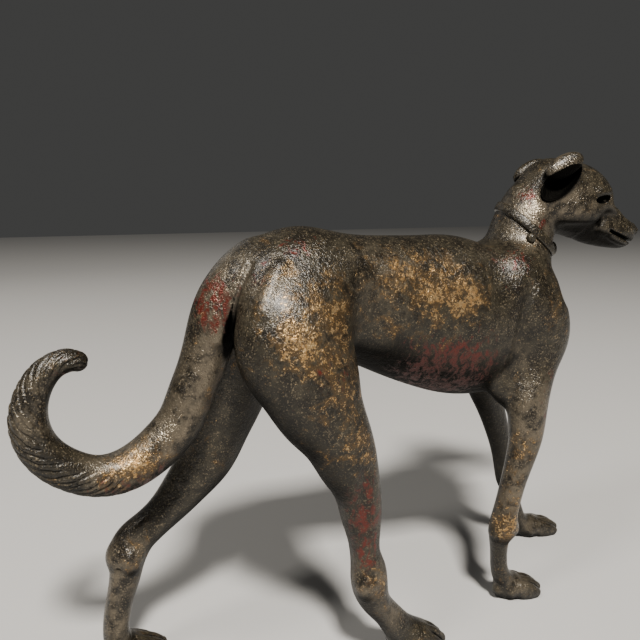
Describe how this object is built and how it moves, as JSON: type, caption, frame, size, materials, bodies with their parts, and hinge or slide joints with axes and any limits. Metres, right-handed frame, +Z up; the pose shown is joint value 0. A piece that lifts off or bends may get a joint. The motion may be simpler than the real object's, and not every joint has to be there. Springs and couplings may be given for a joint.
{
  "type": "hound figurine",
  "caption": "Cast hound striding with its face turned to the right, an upcurled tail, cupped ears and a narrow collar with a bell; it stands on its own paws.",
  "frame": {"origin": "under the middle of the figure's own box, on the floor it stands on", "axes": "+X towards the head along the body, +Y to the hound's left, +Z up"},
  "size_m": [0.3254, 0.083, 0.2442],
  "materials": {
    "bronze": "dark brown lacquered bronze, semi-gloss, with worn gilding and red lacquer"
  },
  "bodies": {
    "root": {"hound": "bronze"}
  },
  "joints": []
}
